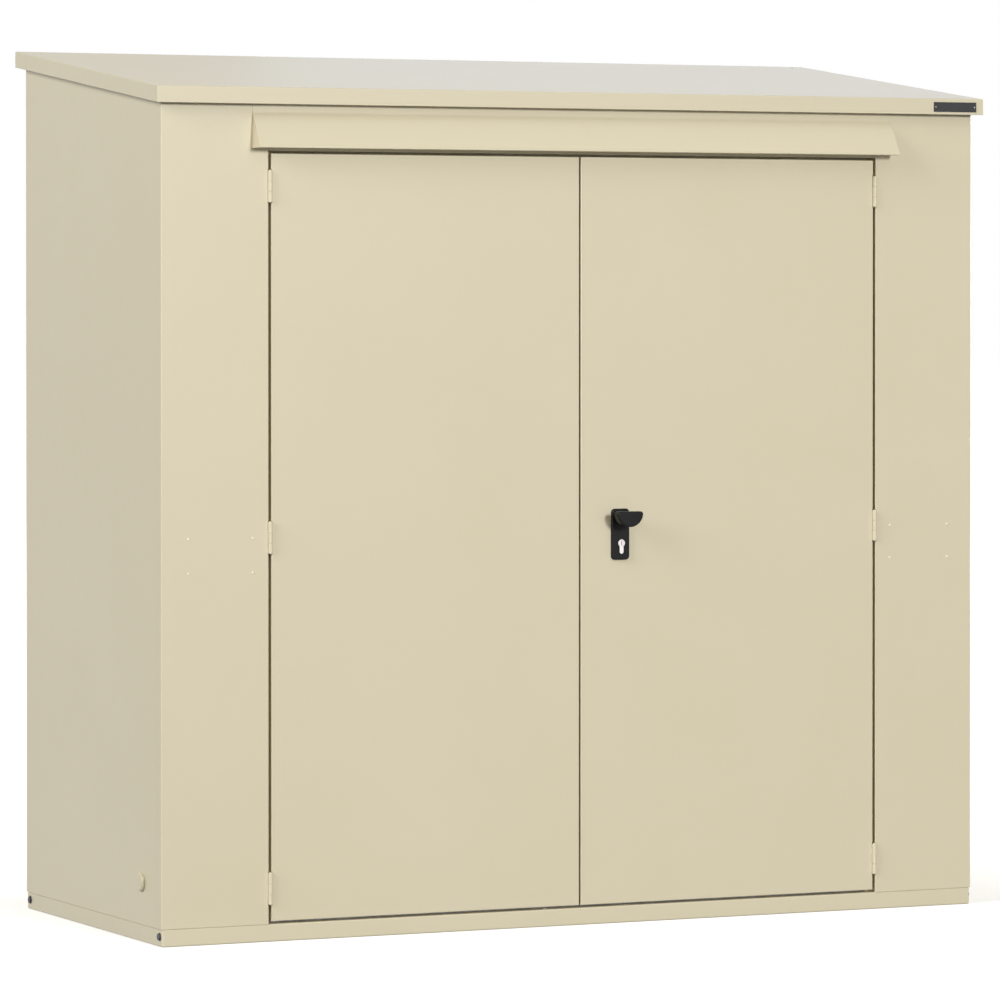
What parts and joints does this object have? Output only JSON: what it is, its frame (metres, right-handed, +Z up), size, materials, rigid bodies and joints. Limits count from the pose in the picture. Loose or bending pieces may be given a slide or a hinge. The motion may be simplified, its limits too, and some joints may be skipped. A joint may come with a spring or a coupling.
{
  "type": "metal garden shed",
  "caption": "Narrow sheet-steel garden shed with a pent roof, a rain hood and double doors that lock top and bottom by a turn handle.",
  "frame": {"origin": "on the ground, under the middle of the footprint of the walls", "axes": "+Z up, -Y out through the doors, +X to the right as seen from the front"},
  "size_m": [2.1074, 0.947, 2.0274],
  "materials": {
    "cream_powder_coat": "satin",
    "galvanised_sheet": "satin",
    "zinc_plated_steel": "satin",
    "blackened_steel": "satin",
    "black_lacquer": "satin",
    "nickel_plated_brass": "polished",
    "charcoal_plate": "satin",
    "black_rubber": "matte"
  },
  "bodies": {
    "shed": {"floor_tray": "cream_powder_coat", "floor_ribs": "galvanised_sheet", "base_brackets": "galvanised_sheet", "base_bolts": "blackened_steel", "base_nuts": "zinc_plated_steel", "floor_screws": "zinc_plated_steel", "threshold": "galvanised_sheet", "side_panel_left": "cream_powder_coat", "side_panel_right": "cream_powder_coat", "rear_panel_left": "cream_powder_coat", "rear_panel_right": "cream_powder_coat", "front_panel_left": "cream_powder_coat", "front_panel_right": "cream_powder_coat", "header_beam": "cream_powder_coat", "rain_hood": "cream_powder_coat", "hood_screws": "zinc_plated_steel", "panel_bolts": "zinc_plated_steel", "panel_nuts": "zinc_plated_steel", "roof_panel": "cream_powder_coat", "roof_braces": "galvanised_sheet", "roof_studs": "zinc_plated_steel", "roof_nuts": "zinc_plated_steel", "front_stiffeners": "galvanised_sheet", "front_rivets": "zinc_plated_steel", "side_cap": "cream_powder_coat", "name_plate": "charcoal_plate", "plate_rivets": "zinc_plated_steel", "frame_hinge_leaves": "cream_powder_coat", "hinge_pins": "cream_powder_coat", "strike_plates": "galvanised_sheet"},
    "right_door": {"door_skin_right": "cream_powder_coat", "door_ribs_right": "galvanised_sheet", "door_leaves_right": "cream_powder_coat", "lock_plate": "black_lacquer", "lock_case": "galvanised_sheet", "lock_cover": "galvanised_sheet", "inner_plate": "black_lacquer", "plate_screws": "zinc_plated_steel", "key_cylinder": "nickel_plated_brass", "cylinder_screw": "zinc_plated_steel", "rod_guides": "galvanised_sheet"},
    "handle": {"turn_handle": "black_lacquer", "spindle": "zinc_plated_steel", "pinion": "zinc_plated_steel", "inner_handle": "black_lacquer"},
    "key_plug": {"cylinder_plug": "nickel_plated_brass"},
    "upper_lock_rod": {"rack_upper": "zinc_plated_steel", "rod_upper": "zinc_plated_steel"},
    "lower_lock_rod": {"rack_lower": "zinc_plated_steel", "rod_lower": "zinc_plated_steel"},
    "left_door": {"door_skin_left": "cream_powder_coat", "door_ribs_left": "galvanised_sheet", "door_leaves_left": "cream_powder_coat", "middle_strip": "black_rubber", "bolt_housings": "galvanised_sheet"},
    "top_bolt": {"tower_bolt_top": "zinc_plated_steel"},
    "bottom_bolt": {"tower_bolt_bottom": "zinc_plated_steel"}
  },
  "joints": [
    {"name": "right_door_hinge", "type": "hinge", "parent": "shed", "child": "right_door", "pos_m": [0.77275, -0.4355, 0.9], "axis": [0, 0, 1], "range_deg": [0, 175]},
    {"name": "left_door_hinge", "type": "hinge", "parent": "shed", "child": "left_door", "pos_m": [-0.77275, -0.4355, 0.9], "axis": [0, 0, -1], "range_deg": [0, 175]},
    {"name": "handle_turn", "type": "hinge", "parent": "right_door", "child": "handle", "pos_m": [0.1015, -0.4185, 0.94], "axis": [0, 1, 0], "range_deg": [0, 90]},
    {"name": "key_turn", "type": "hinge", "parent": "right_door", "child": "key_plug", "pos_m": [0.1015, -0.4445, 0.879], "axis": [0, 1, 0], "continuous": true},
    {"name": "upper_rod_slide", "type": "slide", "parent": "right_door", "child": "upper_lock_rod", "axis": [0, 0, 1], "range_m": [0, 0.019]},
    {"name": "lower_rod_slide", "type": "slide", "parent": "right_door", "child": "lower_lock_rod", "axis": [0, 0, -1], "range_m": [0, 0.019]},
    {"name": "top_bolt_slide", "type": "slide", "parent": "left_door", "child": "top_bolt", "axis": [0, 0, 1], "range_m": [0, 0.02]},
    {"name": "bottom_bolt_slide", "type": "slide", "parent": "left_door", "child": "bottom_bolt", "axis": [0, 0, -1], "range_m": [0, 0.02]}
  ],
  "couplings": [
    {"joint": "upper_rod_slide", "follows": "handle_turn", "m_per_rad": 0.012},
    {"joint": "lower_rod_slide", "follows": "handle_turn", "m_per_rad": 0.012}
  ]
}
